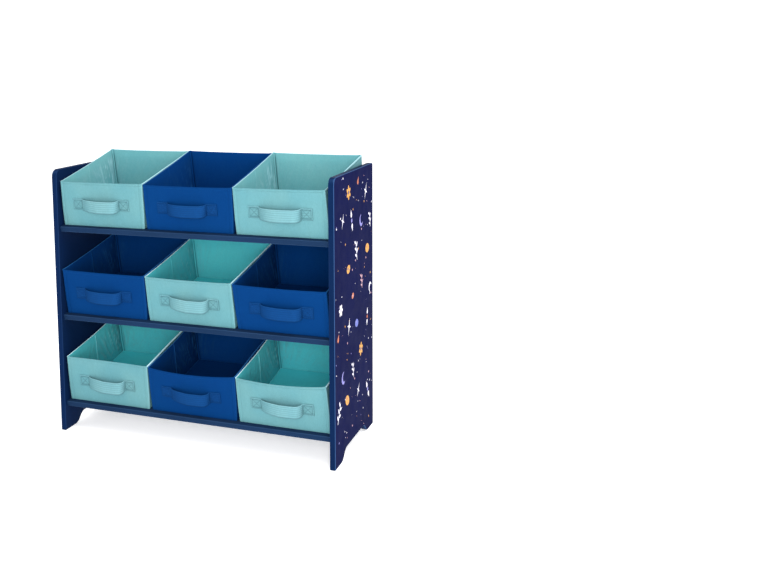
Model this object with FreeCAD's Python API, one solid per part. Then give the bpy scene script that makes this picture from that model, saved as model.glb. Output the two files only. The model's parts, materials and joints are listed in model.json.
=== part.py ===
"""Toy storage organizer: a board case with three forward-tilted shelves that carry nine fabric bins.

Units are millimetres. +X points to the right-hand side panel, +Y to the rear and +Z up. The origin
is on the floor, at the middle of everything's footprint.
"""

import FreeCAD, Part
import math
import os

from FreeCAD import Placement, Rotation, Vector

# --- Case -------------------------------------------------------------------------------------
CASE_WIDTH = 640.0              # over both side panels
CASE_DEPTH = 290.0
CASE_HEIGHT = 590.0
PANEL_THICKNESS = 12.0
TOP_FRONT_RADIUS = 16.0         # rounded front top corner of a side panel
TOP_REAR_RADIUS = 5.0
FOOT_LENGTH = 42.0              # flat part of a foot, measured from front or rear
FOOT_CURVE_LENGTH = 42.0        # run of the S-curve between a foot and the top of the arch
ARCH_HEIGHT = 21.0
PANEL_EDGE_CHAMFER = 1.0        # eased edge round both faces of a side panel

# --- Shelves and the rails behind the bins --------------------------------------------------------
SHELF_TILT = 10.0               # degrees, front edge down
SHELF_THICKNESS = 12.0
SHELF_SETBACK = 9.0             # from the front of the panels to a shelf's top front edge
SHELF_REAR_SETBACK = 7.2        # from a shelf's top rear edge to the rear of the panels
SHELF_COUNT = 3
LOWEST_SHELF_HEIGHT = 65.0      # floor to the top front edge of the lowest shelf
TOP_SHELF_DROP = 127.0          # top of the panels to the top front edge of the highest shelf
SHELF_EDGE_RADIUS = 2.5         # rounding of a shelf's front edges
RAIL_HEIGHT = 60.0
RAIL_THICKNESS = 12.0

# --- Cam fittings in the shelves' ends and dowels in the rails' ends ---------------------------------
CAM_RADIUS = 6.0
CAM_LENGTH = 9.0
CAM_SETBACK = 24.0              # board end to the axis of a cam
CAM_PAST_BOLT = 1.5             # how far a bolt's tip reaches past the axis of its cam
BOLT_STEM_RADIUS = 2.6
BOLT_THREAD_RADIUS = 3.2
BOLT_THREAD_LENGTH = 8.0
CAM_INSET = 100.0               # shelf's front edge to its cam fittings
DOWEL_RADIUS = 3.0
DOWEL_IN_PANEL = 7.5
DOWEL_IN_RAIL = 16.0
DOWEL_HEIGHT = 36.0             # rail's lower edge to its dowels
HOLE_CLEARANCE = 0.1            # on the radius of a bolt, cam or dowel, and at a hole's end

# --- Fabric bins --------------------------------------------------------------------------------
BINS_PER_SHELF = 3
BIN_HEIGHT = 102.0              # square to the shelf
BIN_SIDE_TAPER = 1.5            # how much further out each side stands at the rim than at the base
BIN_END_TAPER = 0.5             # the same for the front and rear walls
BIN_GAP = 5.0                   # between neighbouring rims, and twice the gap to a side panel
BIN_SETBACK = 12.5              # shelf's front edge to the front of a bin's base
BIN_SEAT_CLEARANCE = 0.3        # between a bin and its shelf
BIN_REAR_CLEARANCE = 4.0        # between a bin's base and the rail behind it
FABRIC_THICKNESS = 0.6
CARD_THICKNESS = 2.0
CARD_CLEARANCE = 0.1            # between a card and the fabric round it
CARD_CORNER_MARGIN = 4.0        # card's edge to the bin's corner
FOLD_GAP = 3.0                  # between the two cards of a side wall, where the bin folds
LINING_LIFT = 0.3               # gap under the lining's lower edge
BASE_BOARD_THICKNESS = 3.0
BASE_BOARD_CLEARANCE = 0.8

# --- Strap handles ----------------------------------------------------------------------------
STRAP_WIDTH = 25.0
STRAP_THICKNESS = 1.6
STRAP_PATCH = 25.0              # length sewn down at each end
STRAP_SPAN = 86.0               # free length between the patches, measured along the wall
STRAP_BULGE = 22.0              # wall to the inside of the loop at its middle
STRAP_CENTRE_HEIGHT = 51.0      # up the front wall from the base

# --- Sizes that follow from the ones above ------------------------------------------------------
INNER_HALF_WIDTH = CASE_WIDTH / 2 - PANEL_THICKNESS
SHELF_PITCH = (CASE_HEIGHT - TOP_SHELF_DROP - LOWEST_SHELF_HEIGHT) / (SHELF_COUNT - 1)
SHELF_RUN = CASE_DEPTH - SHELF_SETBACK - SHELF_REAR_SETBACK
SHELF_DEPTH = SHELF_RUN / math.cos(math.radians(SHELF_TILT))
RAIL_FRONT = SHELF_DEPTH - RAIL_THICKNESS
BIN_DEPTH = RAIL_FRONT - BIN_REAR_CLEARANCE - BIN_SETBACK       # at the base
BIN_PITCH = 2 * INNER_HALF_WIDTH / BINS_PER_SHELF
BIN_RIM_WIDTH = BIN_PITCH - BIN_GAP
BIN_BASE_WIDTH = BIN_RIM_WIDTH - 2 * BIN_SIDE_TAPER
BIN_WALL = 2 * FABRIC_THICKNESS + CARD_THICKNESS + 2 * CARD_CLEARANCE
CAM_AXIS = INNER_HALF_WIDTH - CAM_SETBACK
BOLT_TIP = CAM_AXIS - CAM_PAST_BOLT
FAR = 1000.0                    # reach of a cutting block that has to pass everything

X_AXIS = Vector(1, 0, 0)
Z_AXIS = Vector(0, 0, 1)
STAND_UP = Placement(Vector(INNER_HALF_WIDTH, 0, 0), Rotation(Vector(1, 1, 1), 120))    # XYZ to YZX


# --- Small helpers --------------------------------------------------------------------------------
def box(low, high):
    """A block between two corners, each given as (x, y, z)."""
    size = [b - a for a, b in zip(low, high)]
    return Part.makeBox(*size, Vector(*low))


def arc(centre, radius, start, end):
    """An arc in the XY plane from one angle to another, in degrees."""
    points = []
    for angle in (start, (start + end) / 2, end):
        turn = math.radians(angle)
        points.append(centre + Vector(radius * math.cos(turn), radius * math.sin(turn), 0))
    return Part.Arc(*points).toShape()


def line(start, end):
    return Part.LineSegment(start, end).toShape()


def face_of(edges):
    return Part.Face(Part.Wire(Part.__sortEdges__(edges)))


def shelf_frame(tier):
    """Places a shape made with a level shelf: its front edge is on y = 0 and its top face on z = 0."""
    front_top = Vector(0, SHELF_SETBACK, LOWEST_SHELF_HEIGHT + tier * SHELF_PITCH)
    return Placement(front_top, Rotation(X_AXIS, SHELF_TILT))


def placed(shape, placement):
    copy = shape.copy()
    copy.Placement = placement.multiply(copy.Placement)
    return copy


def mirrored(shape):
    """The same shape on the left-hand side."""
    return shape.mirror(Vector(0, 0, 0), X_AXIS)


# --- Cam fittings and dowels ------------------------------------------------------------------------
# Each is made at the right-hand end of a board, with its axis along X at y = 0, z = 0.
def rod(radius, start, end):
    return Part.makeCylinder(radius, end - start, Vector(start, 0, 0), X_AXIS)


def cam_bolt():
    thread = rod(BOLT_THREAD_RADIUS, INNER_HALF_WIDTH, INNER_HALF_WIDTH + BOLT_THREAD_LENGTH)
    return thread.fuse(rod(BOLT_STEM_RADIUS, BOLT_TIP, INNER_HALF_WIDTH))


def cam_lock():
    """The cam, flush with the underside of its shelf and slotted for the tip of its bolt."""
    base = Vector(CAM_AXIS, 0, -SHELF_THICKNESS / 2)
    body = Part.makeCylinder(CAM_RADIUS, CAM_LENGTH, base, Z_AXIS)
    half_slot = BOLT_STEM_RADIUS + HOLE_CLEARANCE
    slot = box(
        (BOLT_TIP - HOLE_CLEARANCE, -half_slot, -half_slot),
        (INNER_HALF_WIDTH, half_slot, half_slot),
    )
    return body.cut(slot)


def cam_cut():
    """What a shelf loses to a cam and to the bolt that reaches it."""
    base = Vector(CAM_AXIS, 0, -SHELF_THICKNESS / 2)
    pocket = Part.makeCylinder(CAM_RADIUS + HOLE_CLEARANCE, CAM_LENGTH + HOLE_CLEARANCE, base, Z_AXIS)
    return pocket.fuse(rod(BOLT_STEM_RADIUS + HOLE_CLEARANCE, CAM_AXIS, INNER_HALF_WIDTH))


def bolt_hole():
    """The blind hole in the side panel that the bolt's thread is driven into."""
    end = INNER_HALF_WIDTH + BOLT_THREAD_LENGTH + HOLE_CLEARANCE
    return rod(BOLT_THREAD_RADIUS + HOLE_CLEARANCE, INNER_HALF_WIDTH, end)


def dowel():
    return rod(DOWEL_RADIUS, INNER_HALF_WIDTH - DOWEL_IN_RAIL, INNER_HALF_WIDTH + DOWEL_IN_PANEL)


def dowel_hole():
    start = INNER_HALF_WIDTH - DOWEL_IN_RAIL - HOLE_CLEARANCE
    end = INNER_HALF_WIDTH + DOWEL_IN_PANEL + HOLE_CLEARANCE
    return rod(DOWEL_RADIUS + HOLE_CLEARANCE, start, end)


def at_cam(shape):
    """Moves a cam fitting's shape to its place at a shelf's end."""
    return placed(shape, Placement(Vector(0, CAM_INSET, -SHELF_THICKNESS / 2), Rotation()))


def at_dowel(shape):
    """Moves a dowel's shape to its place at a rail's end."""
    return placed(shape, Placement(Vector(0, RAIL_FRONT + RAIL_THICKNESS / 2, DOWEL_HEIGHT), Rotation()))


def at_every_end(shape):
    """One solid at both ends of every tier, as one group."""
    right = [placed(shape, shelf_frame(tier)) for tier in range(SHELF_COUNT)]
    return Part.makeCompound(right + [mirrored(solid) for solid in right])


# --- Case -------------------------------------------------------------------------------------------
def s_curve(start, end):
    """Two equal arcs that leave start and reach end level, in the XY plane."""
    run, rise = end.x - start.x, end.y - start.y
    radius = (run ** 2 + rise ** 2) / (4 * abs(rise))
    turn = math.degrees(math.asin(abs(run) / (2 * radius)))
    middle = (start + end) / 2
    up = 1 if rise > 0 else -1
    along = 1 if run > 0 else -1
    first = Vector(start.x, start.y + up * radius, 0)
    second = Vector(end.x, end.y - up * radius, 0)
    bend = math.radians(turn / 2)
    offset = Vector(along * radius * math.sin(bend), -up * radius * math.cos(bend), 0)
    lower = Part.Arc(start, first + offset, middle).toShape()
    upper = Part.Arc(middle, second - offset, end).toShape()
    return [lower, upper]


def panel_outline():
    """A side panel's outline, drawn with depth along X and height along Y."""
    arch_start = FOOT_LENGTH + FOOT_CURVE_LENGTH
    floor_front = Vector(FOOT_LENGTH, 0, 0)
    arch_front = Vector(arch_start, ARCH_HEIGHT, 0)
    arch_rear = Vector(CASE_DEPTH - arch_start, ARCH_HEIGHT, 0)
    floor_rear = Vector(CASE_DEPTH - FOOT_LENGTH, 0, 0)
    rear_foot = Vector(CASE_DEPTH, 0, 0)
    rear_corner = Vector(CASE_DEPTH - TOP_REAR_RADIUS, CASE_HEIGHT - TOP_REAR_RADIUS, 0)
    front_corner = Vector(TOP_FRONT_RADIUS, CASE_HEIGHT - TOP_FRONT_RADIUS, 0)
    edges = [line(Vector(0, 0, 0), floor_front)]
    edges += s_curve(floor_front, arch_front)
    edges.append(line(arch_front, arch_rear))
    edges += s_curve(arch_rear, floor_rear)
    edges.append(line(floor_rear, rear_foot))
    edges.append(line(rear_foot, Vector(CASE_DEPTH, rear_corner.y, 0)))
    edges.append(arc(rear_corner, TOP_REAR_RADIUS, 0, 90))
    edges.append(line(Vector(rear_corner.x, CASE_HEIGHT, 0), Vector(front_corner.x, CASE_HEIGHT, 0)))
    edges.append(arc(front_corner, TOP_FRONT_RADIUS, 90, 180))
    edges.append(line(Vector(0, front_corner.y, 0), Vector(0, 0, 0)))
    return face_of(edges)


def round_a_face(bounds):
    """True for the edges round a panel's two faces, except where its feet meet the floor."""
    return bounds.ZLength < PANEL_EDGE_CHAMFER < bounds.YMax


def side_panel():
    """The right-hand panel, with its eased edges and the blind holes in its inner face."""
    panel = panel_outline().extrude(Vector(0, 0, PANEL_THICKNESS))
    eased = [edge for edge in panel.Edges if round_a_face(edge.BoundBox)]
    panel = placed(panel.makeChamfer(PANEL_EDGE_CHAMFER, eased), STAND_UP)
    for tier in range(SHELF_COUNT):
        for hole in (at_cam(bolt_hole()), at_dowel(dowel_hole())):
            panel = panel.cut(placed(hole, shelf_frame(tier)))
    return panel


def on_front(bounds):
    """True for the two long edges of a board's front face."""
    return bounds.YMax < SHELF_EDGE_RADIUS and bounds.XLength > INNER_HALF_WIDTH


def shelf(tier):
    board = box(
        (-INNER_HALF_WIDTH, 0, -SHELF_THICKNESS),
        (INNER_HALF_WIDTH, SHELF_DEPTH, 0),
    )
    front = [edge for edge in board.Edges if on_front(edge.BoundBox)]
    board = board.makeFillet(SHELF_EDGE_RADIUS, front)
    cut = at_cam(cam_cut())
    return placed(board.cut(cut).cut(mirrored(cut)), shelf_frame(tier))


def rear_rail(tier):
    """Stands on the rear of a shelf, glued to it, behind its bins."""
    board = box(
        (-INNER_HALF_WIDTH, RAIL_FRONT, 0),
        (INNER_HALF_WIDTH, RAIL_FRONT + RAIL_THICKNESS, RAIL_HEIGHT),
    )
    cut = at_dowel(dowel_hole())
    return placed(board.cut(cut).cut(mirrored(cut)), shelf_frame(tier))


# --- Fabric bins ------------------------------------------------------------------------------------
# A bin is made about x = 0 in its shelf's frame. "inset" is a distance in from its outer surface, and
# heights are measured up from the underside of its base.
def half_sizes(inset, height):
    """Half the bin's width and half its depth at one height."""
    rise = height / BIN_HEIGHT
    half_width = BIN_BASE_WIDTH / 2 + BIN_SIDE_TAPER * rise - inset
    half_depth = BIN_DEPTH / 2 + BIN_END_TAPER * rise - inset
    return half_width, half_depth


def bin_block(inset, low, high):
    """A closed block that follows the bin's sloping walls between two heights."""
    low_x, low_y = half_sizes(inset, low)
    high_x, high_y = half_sizes(inset, high)
    lying = Part.makeWedge(-low_x, low, -low_y, -high_y, -high_x, low_x, high, low_y, high_y, high_x)
    centre = Vector(0, BIN_SETBACK + BIN_DEPTH / 2, BIN_SEAT_CLEARANCE)
    return placed(lying, Placement(centre, Rotation(X_AXIS, 90)))


def bin_cover():
    """Outer fabric, turned over the rim and hanging inside as the lining."""
    top = BIN_HEIGHT - FABRIC_THICKNESS
    lining_back = BIN_WALL - FABRIC_THICKNESS
    pocket = bin_block(FABRIC_THICKNESS, FABRIC_THICKNESS, top)
    core = bin_block(lining_back, FABRIC_THICKNESS + LINING_LIFT, top)
    inside = bin_block(BIN_WALL, FABRIC_THICKNESS, BIN_HEIGHT + FABRIC_THICKNESS)
    return bin_block(0, 0, BIN_HEIGHT).cut(pocket.cut(core)).cut(inside)


def wall_cards():
    """The six cards inside the fabric walls: front, rear, and two in each side with the fold between."""
    outer = FABRIC_THICKNESS + CARD_CLEARANCE
    low = FABRIC_THICKNESS + LINING_LIFT
    high = BIN_HEIGHT - outer
    ring = bin_block(outer, low, high).cut(bin_block(outer + CARD_THICKNESS, low, high))
    half_x = BIN_BASE_WIDTH / 2 - BIN_WALL - CARD_CORNER_MARGIN
    near = BIN_SETBACK + BIN_WALL + CARD_CORNER_MARGIN
    far = BIN_SETBACK + BIN_DEPTH - BIN_WALL - CARD_CORNER_MARGIN
    middle = (near + far) / 2
    blocks = [
        box((-half_x, -FAR, 0), (half_x, near, FAR)),
        box((-half_x, far, 0), (half_x, FAR, FAR)),
    ]
    for side in (-1, 1):
        low_x, high_x = sorted((side * half_x, side * FAR))
        blocks.append(box((low_x, near, 0), (high_x, middle - FOLD_GAP / 2, FAR)))
        blocks.append(box((low_x, middle + FOLD_GAP / 2, 0), (high_x, far, FAR)))
    return Part.makeCompound([ring.common(block).Solids[0] for block in blocks])


def base_board():
    """The loose stiff board that lies on the bin's fabric bottom."""
    half_x, half_y = half_sizes(BIN_WALL + BASE_BOARD_CLEARANCE, 0)
    centre = BIN_SETBACK + BIN_DEPTH / 2
    low = BIN_SEAT_CLEARANCE + FABRIC_THICKNESS
    return box(
        (-half_x, centre - half_y, low),
        (half_x, centre + half_y, low + BASE_BOARD_THICKNESS),
    )


def strap_profile():
    """The strap seen from above: y = 0 is the wall and the loop bulges towards -Y."""
    half = STRAP_SPAN / 2
    reach = half + STRAP_PATCH
    loop_radius = (half ** 2 + STRAP_BULGE ** 2) / (2 * STRAP_BULGE)
    drop = loop_radius - STRAP_BULGE
    edges = []
    for layer in (0, STRAP_THICKNESS):
        radius = loop_radius + layer
        turn = math.degrees(math.acos((drop + layer) / radius))
        meet = math.sqrt(radius ** 2 - (drop + layer) ** 2)
        edges.append(arc(Vector(0, drop, 0), radius, 270 - turn, 270 + turn))
        edges.append(line(Vector(meet, -layer, 0), Vector(reach, -layer, 0)))
        edges.append(line(Vector(-meet, -layer, 0), Vector(-reach, -layer, 0)))
    for end in (-reach, reach):
        edges.append(line(Vector(end, 0, 0), Vector(end, -STRAP_THICKNESS, 0)))
    return face_of(edges)


def strap_handle():
    strap = strap_profile().extrude(Vector(0, 0, STRAP_WIDTH))
    strap.translate(Vector(0, 0, -STRAP_WIDTH / 2))
    lean = math.degrees(math.atan(BIN_END_TAPER / BIN_HEIGHT))
    front = BIN_SETBACK - BIN_END_TAPER * STRAP_CENTRE_HEIGHT / BIN_HEIGHT
    centre = Vector(0, front, BIN_SEAT_CLEARANCE + STRAP_CENTRE_HEIGHT)
    return placed(strap, Placement(centre, Rotation(X_AXIS, lean)))


def bin_pieces():
    return {
        "cover": bin_cover(),
        "wall_cards": wall_cards(),
        "base_board": base_board(),
        "handle": strap_handle(),
    }


# --- The whole organizer ----------------------------------------------------------------------------
def organizer():
    """Every node's name and shape, standing with the front edges of the side panels on y = 0."""
    right_panel = side_panel()
    nodes = {
        "side_panel_right": right_panel,
        "side_panel_left": mirrored(right_panel),
        "cam_bolts": at_every_end(at_cam(cam_bolt())),
        "cam_locks": at_every_end(at_cam(cam_lock())),
        "dowels": at_every_end(at_dowel(dowel())),
    }
    pieces = bin_pieces()
    for tier in range(SHELF_COUNT):
        frame = shelf_frame(tier)
        nodes[f"shelf_{tier + 1}"] = shelf(tier)
        nodes[f"rear_rail_{tier + 1}"] = rear_rail(tier)
        for place in range(BINS_PER_SHELF):
            middle = (place - (BINS_PER_SHELF - 1) / 2) * BIN_PITCH
            spot = frame.multiply(Placement(Vector(middle, 0, 0), Rotation()))
            for name, shape in pieces.items():
                nodes[f"bin_{tier + 1}_{place + 1}_{name}"] = placed(shape, spot)
    return nodes


def to_origin(nodes):
    """Moves the origin from the front to the middle of everything's footprint."""
    bounds = Part.makeCompound(list(nodes.values())).BoundBox
    shift = Placement(Vector(-bounds.Center.x, -bounds.Center.y, 0), Rotation())
    return {name: placed(shape, shift) for name, shape in nodes.items()}


def main():
    os.makedirs("parts", exist_ok=True)
    for name, shape in to_origin(organizer()).items():
        shape.exportStep(f"parts/{name}.step")


if __name__ == "__main__":
    main()
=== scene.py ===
"""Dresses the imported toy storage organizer: painted boards, printed side panels and nine fabric bins."""

import json
import math
import random
from collections import namedtuple

import bpy
from mathutils import Matrix, Vector, noise


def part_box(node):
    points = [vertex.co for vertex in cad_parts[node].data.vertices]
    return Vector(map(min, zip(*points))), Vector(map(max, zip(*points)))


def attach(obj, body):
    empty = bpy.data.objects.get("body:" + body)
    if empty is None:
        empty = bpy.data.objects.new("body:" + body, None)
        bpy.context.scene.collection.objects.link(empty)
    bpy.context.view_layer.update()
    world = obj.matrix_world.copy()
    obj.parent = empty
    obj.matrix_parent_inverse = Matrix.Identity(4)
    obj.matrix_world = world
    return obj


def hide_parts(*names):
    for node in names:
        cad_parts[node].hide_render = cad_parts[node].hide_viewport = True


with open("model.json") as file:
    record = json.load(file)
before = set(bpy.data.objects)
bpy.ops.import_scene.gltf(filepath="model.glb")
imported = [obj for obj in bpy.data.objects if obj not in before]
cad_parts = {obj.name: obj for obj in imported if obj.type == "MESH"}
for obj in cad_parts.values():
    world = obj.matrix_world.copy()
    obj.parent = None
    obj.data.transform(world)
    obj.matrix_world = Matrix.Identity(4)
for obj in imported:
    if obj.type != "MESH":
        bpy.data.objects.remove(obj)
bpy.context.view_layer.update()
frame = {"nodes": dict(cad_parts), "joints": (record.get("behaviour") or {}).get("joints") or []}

MM = 0.001
TIERS = 3
PLACES = 3

# --- Case, in millimetres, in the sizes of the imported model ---
FOOT_LENGTH = 42.0
FOOT_CURVE_LENGTH = 42.0
ARCH_HEIGHT = 21.0
TOP_FRONT_RADIUS = 16.0
TOP_REAR_RADIUS = 5.0
SHELF_THICKNESS = 12.0
BIN_SETBACK = 12.5  # shelf's front edge to the front of a bin's base, along the slope
BIN_SEAT = 0.3  # between a bin and its shelf
CAM_INSET = 100.0  # shelf's front edge to its cams
CAM_AXIS = 284.0  # middle of the case to a cam
CAM_RADIUS = 5.7
ARRIS_SPAN = (0.3187, 0.3192)  # metres from the middle of the case to where a panel's outer edge begins

# --- Bins ---
BIN_HEIGHT = 102.0
BASE_WIDTH = 197.33
BASE_DEPTH = 249.52
SIDE_TAPER = 1.5  # how much further out each side stands at the rim than at the base
END_TAPER = 0.5
WALL = 3.4  # outer fabric, card and lining together
RIM_WALL = 2.4  # the same at the rim, where the card ends
SPREAD = 1.9  # how far each side wall swells past its card
OUTER_CORNER = 2.6
INNER_CORNER = 1.0
BOARD_TOP = 3.9  # underside of a bin to the top of its base board
BOARD_THICKNESS = 3.0
SEAM_INSET = 5.5  # stitched seam to the nearest corner
HEM_DROP = 5.0  # rim to the stitched hem under it
GRID = 3.4  # spacing of the mesh along a wall
ROW = 4.6  # and up it
BY_A_SEAM = (-0.9, 0, 0.9)  # where the mesh is closer, from a seam or the hem
BY_A_CORNER = (0.7, 1.5, 2.4)
BY_A_FOLD = (-2.2, -1.1, 0.0, 1.1, 2.2)
CORNER_TURNS = (22.5, 45, 67.5)
RIM_TURNS = (0, 30, 60, 90, 120, 150)
LINING_BOTTOM = 0.9  # underside of a bin to the lining under its base board
PAD_RADIUS = 1.7  # rounded upper edge of the wrapped base board
PAD_GRID = 8.0

# --- Strap handles ---
STRAP_WIDTH = 25.0
STRAP_THICKNESS = 1.7
STRAP_PATCH = 25.0
STRAP_HALF_SPAN = 43.0
STRAP_BULGE = 18.0
STRAP_CUP = 1.2  # how far its edges bend back to the wall
STRAP_TILT = 3.4  # how far its upper edge leans to the wall, and its lower edge away
PATCH_STEPS = 17
LOOP_STEPS = 44
SECTION_STEPS = 22
RIB_PITCH = 4.1  # lines woven along the strap
STRAP_HEIGHT = 51.0  # underside of a bin to the strap's middle
QUILT_INSET = 3.4  # edge of a sewn patch to its stitched box
STITCH_LENGTH = 2.3
STITCH_PITCH = 3.3
STITCH_WIDTH = 0.62

# --- How each bin has settled ---
# From left to right in each tier: bow of the front rim, inward kink of the side walls, dip of the rims,
# creasing of the lining, droop of the handle and how far its left leg slants, lift of the rim's corners
# (front left, front right, rear right and rear left), and how far outwards the left and right walls stand
# at the front rim.
Settled = namedtuple("Settled", "bow kink dip creasing droop slant lifts racked")
SETTLED = {
    1: [
        Settled(-4, 2, 1, 1, 2.5, 2, (3.5, 1, 0, 0), (-5.4, 2.4)),
        Settled(9.5, 2.2, 2, 1, 2, 1.8, (0, 0, 0, 0), (-2.5, 1.3)),
        Settled(10, 2.2, 1.6, 1, 1, 1.9, (0, 3, 0, 0), (-1.1, -6)),
    ],
    2: [
        Settled(0.6, 1.2, 1, 0.6, 1.5, 1.3, (1.5, 0, 0, 0), (-2.9, 1.3)),
        Settled(1.2, 1.4, 1, 0.5, 2.5, 1.9, (-0.5, -1, 0, 0), (-1.6, -2.9)),
        Settled(2, 1.4, 1, 0.55, 1.5, 1.2, (-2.5, -3.5, 0, 0), (2.6, -4.5)),
    ],
    3: [
        Settled(0.6, 1, 0.8, 0.35, 1.2, 2, (-1, -1, 2.5, 4), (-5.9, 3.1)),
        Settled(1, 1.2, 0.8, 0.35, 1.2, 1.2, (-2.5, -2.5, 1.5, 3.5), (-2.9, 2.1)),
        Settled(0.8, 1, 0.8, 0.35, 1.2, 1.2, (-1.5, 0, 2, 3.5), (-1.9, -5.4)),
    ],
}
AQUA_FIRST = {1: True, 2: False, 3: True}
# Painted highlight on a tier's side and rear rims, paler the lower the tier.
RIM_HIGHLIGHT = {1: 0.95, 2: 0.8, 3: 0.35}  # how pale a tier's side and rear rims are

# --- Printed motifs on the outer faces of the side panels ---
FILM_INSET = 1.25
FILM_LIFT = 0.05
PRINT_MARGIN = 8.0
PRINT_ROWS = 8
PRINT_COLUMNS = 4
PRINT_LIFT = 0.11
LAYER_LIFT = 0.015  # between the layers of one motif
SPECK_LIFT = PRINT_LIFT - 0.03
PRINT_SPECKS = 130
SPECK_SIZES = (0.7, 0.9, 1.2, 1.6, 2.2)
SPECK_COLOURS = ("white", "white", "lavender", "mustard", "pink")
MOTIF_REACH = 14.0
STAGGER = 0.22  # of a column, from row to row
JITTER_ACROSS = 0.14  # of a column, at random
JITTER_UP = 0.25  # of a row
TURN_LIMIT = 0.7  # radians
ARCH_CLEAR = 26.0


# --- Small helpers ---
def smooth_step(low, high, value):
    t = min(max((value - low) / (high - low), 0.0), 1.0)
    return t * t * (3 - 2 * t)


def bump_at(value, centre, width):
    """A smooth bump of height 1 about centre."""
    return math.exp(-((value - centre) / width) ** 2)


def wave(x, y, seed):
    return noise.noise(Vector((x, y, seed)))


def ridge(x, y, seed, sharpness):
    """1 along thin wandering lines and 0 between them."""
    return (1 - min(abs(wave(x, y, seed)) * sharpness, 1)) ** 2


def new_object(name, data):
    obj = bpy.data.objects.new(name, data)
    bpy.context.scene.collection.objects.link(obj)
    return obj


def new_mesh(name, points, faces, materials, indices=None, smooth=True, **shares):
    """A mesh object; shares hold a value from 0 to 1 for each point under the name a material reads."""
    mesh = bpy.data.meshes.new(name)
    mesh.from_pydata([tuple(p) for p in points], [], faces)
    for material in materials:
        mesh.materials.append(material)
    if indices:
        mesh.polygons.foreach_set("material_index", indices)
    mesh.polygons.foreach_set("use_smooth", [smooth] * len(mesh.polygons))
    for share, values in shares.items():
        mesh.attributes.new(share, "FLOAT", "POINT").data.foreach_set("value", values)
    mesh.update()
    return new_object(name, mesh)


def lattice(rows, columns, closed):
    """Quads between rows of points; closed joins each row's last point to its first."""
    faces = []
    for r in range(rows - 1):
        for c in range(columns if closed else columns - 1):
            d = (c + 1) % columns
            faces.append((r * columns + c, r * columns + d, (r + 1) * columns + d, (r + 1) * columns + c))
    return faces


def capped(rows):
    """Faces of a tube through closed rows of points, with both ends filled."""
    count = len(rows[0])
    last = (len(rows) - 1) * count
    return lattice(len(rows), count, True) + [tuple(reversed(range(count))), tuple(range(last, last + count))]


# --- Materials ---
WHITE = (1.0, 1.0, 1.0, 1)
PAINT_TINT = (0.45, 0.65, 1.0, 1)
GLOOM = (0.30, 0.36, 0.38, 1)  # what a shaded spot of fabric is multiplied by


def add(tree, kind, **inputs):
    node = tree.nodes.new(kind)
    for name, value in inputs.items():
        node.inputs[name.replace("_", " ")].default_value = value
    return node


def noise_node(tree, coords, scale, detail=3.0, stretch=(1, 1, 1)):
    mapping = add(tree, "ShaderNodeMapping", Scale=stretch)
    tree.links.new(coords, mapping.inputs["Vector"])
    node = add(tree, "ShaderNodeTexNoise", Scale=scale, Detail=detail)
    tree.links.new(mapping.outputs["Vector"], node.inputs["Vector"])
    return node.outputs["Fac"]


def between(tree, factor, low, high, span=(0.3, 0.7)):
    """Maps a span of a texture's values onto two values or colours."""
    ramp = tree.nodes.new("ShaderNodeValToRGB")
    for element, position, value in zip(ramp.color_ramp.elements, span, (low, high)):
        element.position = position
        element.color = value if hasattr(value, "__len__") else (value, value, value, 1)
    tree.links.new(factor, ramp.inputs["Fac"])
    return ramp.outputs["Color"]


def mixed(tree, blend, factor, first, second):
    """Two colours mixed; factor is a number or an output."""
    mix = tree.nodes.new("ShaderNodeMix")
    mix.data_type = "RGBA"
    mix.blend_type = blend
    if isinstance(factor, float):
        mix.inputs["Factor"].default_value = factor
    else:
        tree.links.new(factor, mix.inputs["Factor"])
    for socket, value in ((mix.inputs[6], first), (mix.inputs[7], second)):
        if isinstance(value, tuple):
            socket.default_value = value
        else:
            tree.links.new(value, socket)
    return mix.outputs[2]


def shade(colour, factor):
    return tuple(min(c * factor, 1.0) for c in colour[:3]) + (1,)


def bump_chain(tree, shader, heights):
    """Adds bumps one on another; heights holds (output, strength, distance in metres)."""
    last = None
    for output, strength, distance in heights:
        node = add(tree, "ShaderNodeBump", Strength=strength, Distance=distance)
        tree.links.new(output, node.inputs["Height"])
        if last:
            tree.links.new(last, node.inputs["Normal"])
        last = node.outputs["Normal"]
    tree.links.new(last, shader.inputs["Normal"])


def start_material(name, **inputs):
    material = bpy.data.materials.new(name)
    material.use_nodes = True
    tree = material.node_tree
    shader = tree.nodes["Principled BSDF"]
    for key, value in inputs.items():
        shader.inputs[key.replace("_", " ")].default_value = value
    coords = tree.nodes.new("ShaderNodeTexCoord").outputs["Object"]
    return material, tree, shader, coords


def sizes_of_parts(tree, vector):
    """A vector's x, y and z without their signs."""
    size = tree.nodes.new("ShaderNodeVectorMath")
    size.operation = "ABSOLUTE"
    tree.links.new(vector, size.inputs[0])
    parts = tree.nodes.new("ShaderNodeSeparateXYZ")
    tree.links.new(size.outputs[0], parts.inputs[0])
    return parts.outputs


def outer_arris(tree, coords):
    """1 on the outermost millimetre of the side panels and 0 inside it, where the panels get a brighter
    painted highlight.
    """
    return between(tree, sizes_of_parts(tree, coords)["X"], 0.0, 1.0, ARRIS_SPAN)


def eased_edge(tree):
    """1 on a board's rounded or chamfered edges, where no part of the normal is near 1, and else 0; the
    painted highlight of the edges goes there.
    """
    parts = sizes_of_parts(tree, tree.nodes.new("ShaderNodeTexCoord").outputs["Normal"])
    largest = parts["X"]
    for axis in ("Y", "Z"):
        node = tree.nodes.new("ShaderNodeMath")
        node.operation = "MAXIMUM"
        tree.links.new(largest, node.inputs[0])
        tree.links.new(parts[axis], node.inputs[1])
        largest = node.outputs[0]
    return between(tree, largest, 1.0, 0.0, (0.78, 0.95))


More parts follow.
